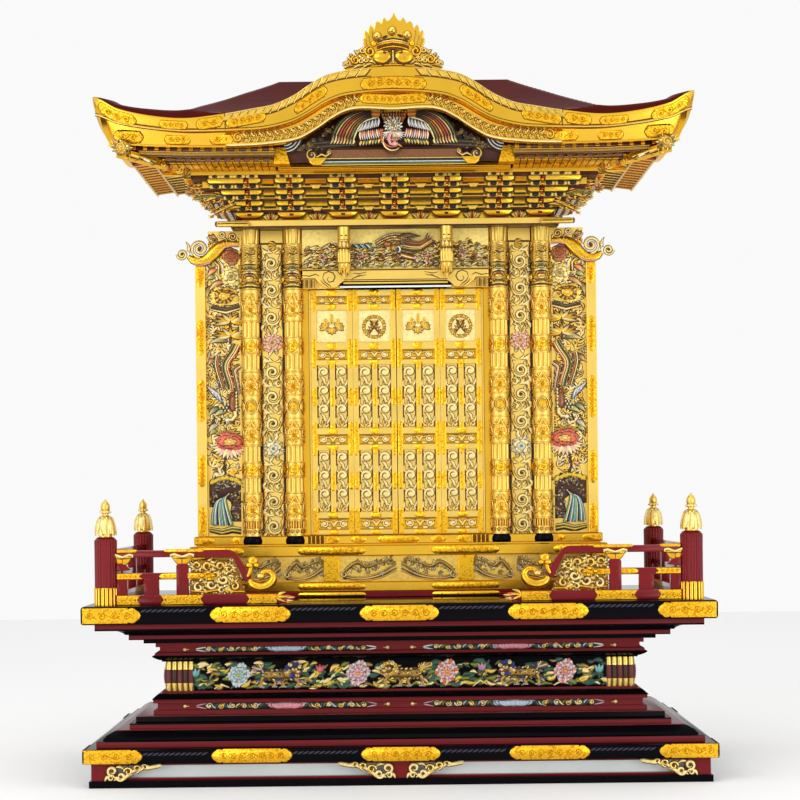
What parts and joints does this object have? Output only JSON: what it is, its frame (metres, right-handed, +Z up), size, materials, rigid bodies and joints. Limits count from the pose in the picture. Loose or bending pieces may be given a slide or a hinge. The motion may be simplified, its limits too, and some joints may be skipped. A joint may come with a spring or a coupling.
{
  "type": "buddhist shrine cabinet",
  "caption": "Gilt palace shrine with folding panelled doors, carved wings, bracketed eaves and an undulating gable roof, on a stepped lacquer pedestal with a railing",
  "frame": {"origin": "centre of the pedestal's underside, on the floor", "axes": "+Z up, front with the doors towards -Y, +X to the right as seen from the front"},
  "size_m": [1.818, 0.909, 2.214],
  "materials": {
    "gold_leaf": "gold leaf on lacquered wood, burnished",
    "gilt_fittings": "gilt, chased and punched",
    "red_lacquer": "polished dark red lacquer",
    "black_lacquer": "mirror polished black lacquer",
    "pale_lacquer": "pale green white lacquer",
    "painted_carving": "carved and painted in mineral colours with gold",
    "roof_lacquer": "polished dark red-brown lacquer"
  },
  "bodies": {
    "shrine": {"ground_frame": "black_lacquer", "base_frame": "red_lacquer", "base_panels": "pale_lacquer", "lower_board": "black_lacquer", "lower_steps": "red_lacquer", "lower_band": "painted_carving", "lower_fillet": "black_lacquer", "waist_drum": "painted_carving", "upper_fillet": "black_lacquer", "upper_band": "painted_carving", "upper_steps": "red_lacquer", "top_board": "black_lacquer", "post_front_left": "red_lacquer", "finial_front_left": "gilt_fittings", "post_front_right": "red_lacquer", "finial_front_right": "gilt_fittings", "post_rear_left": "red_lacquer", "finial_rear_left": "gilt_fittings", "post_rear_right": "red_lacquer", "finial_rear_right": "gilt_fittings", "railing_front_left": "red_lacquer", "scroll_board_left": "gilt_fittings", "railing_side_left": "red_lacquer", "railing_front_right": "red_lacquer", "scroll_board_right": "gilt_fittings", "railing_side_right": "red_lacquer", "shrine_base_moulding": "red_lacquer", "shrine_base": "gold_leaf", "shrine_sill": "gold_leaf", "back_wall": "gold_leaf", "side_wall_left": "gold_leaf", "column_inner_left": "gold_leaf", "column_outer_left": "gold_leaf", "column_panel_left": "gold_leaf", "wing_left": "gold_leaf", "wing_arm_left": "gilt_fittings", "door_jamb_left": "gold_leaf", "pendant_left": "gold_leaf", "side_wall_right": "gold_leaf", "column_inner_right": "gold_leaf", "column_outer_right": "gold_leaf", "column_panel_right": "gold_leaf", "wing_right": "gold_leaf", "wing_arm_right": "gilt_fittings", "door_jamb_right": "gold_leaf", "pendant_right": "gold_leaf", "lintel": "gold_leaf", "frieze": "gold_leaf", "head_board": "gold_leaf", "brackets": "gold_leaf", "eaves": "gold_leaf", "eave_fascia": "gold_leaf", "gable_board": "gilt_fittings", "pediment": "gold_leaf", "roof": "roof_lacquer", "crest_ornament": "gilt_fittings"},
    "left_outer_leaf": {"door_outer_left": "gold_leaf"},
    "left_inner_leaf": {"door_inner_left": "gold_leaf"},
    "right_outer_leaf": {"door_outer_right": "gold_leaf"},
    "right_inner_leaf": {"door_inner_right": "gold_leaf"}
  },
  "joints": [
    {"name": "left_outer_pivot", "type": "hinge", "parent": "shrine", "child": "left_outer_leaf", "pos_m": [-0.2606, -0.054, 1.086], "axis": [0, 0, -1], "range_deg": [0, 90]},
    {"name": "left_fold_hinge", "type": "hinge", "parent": "left_outer_leaf", "child": "left_inner_leaf", "pos_m": [-0.1338, -0.062, 1.086], "axis": [0, 0, -1], "range_deg": [0, 180]},
    {"name": "right_outer_pivot", "type": "hinge", "parent": "shrine", "child": "right_outer_leaf", "pos_m": [0.2606, -0.054, 1.086], "axis": [0, 0, 1], "range_deg": [0, 90]},
    {"name": "right_fold_hinge", "type": "hinge", "parent": "right_outer_leaf", "child": "right_inner_leaf", "pos_m": [0.1338, -0.062, 1.086], "axis": [0, 0, 1], "range_deg": [0, 180]}
  ]
}
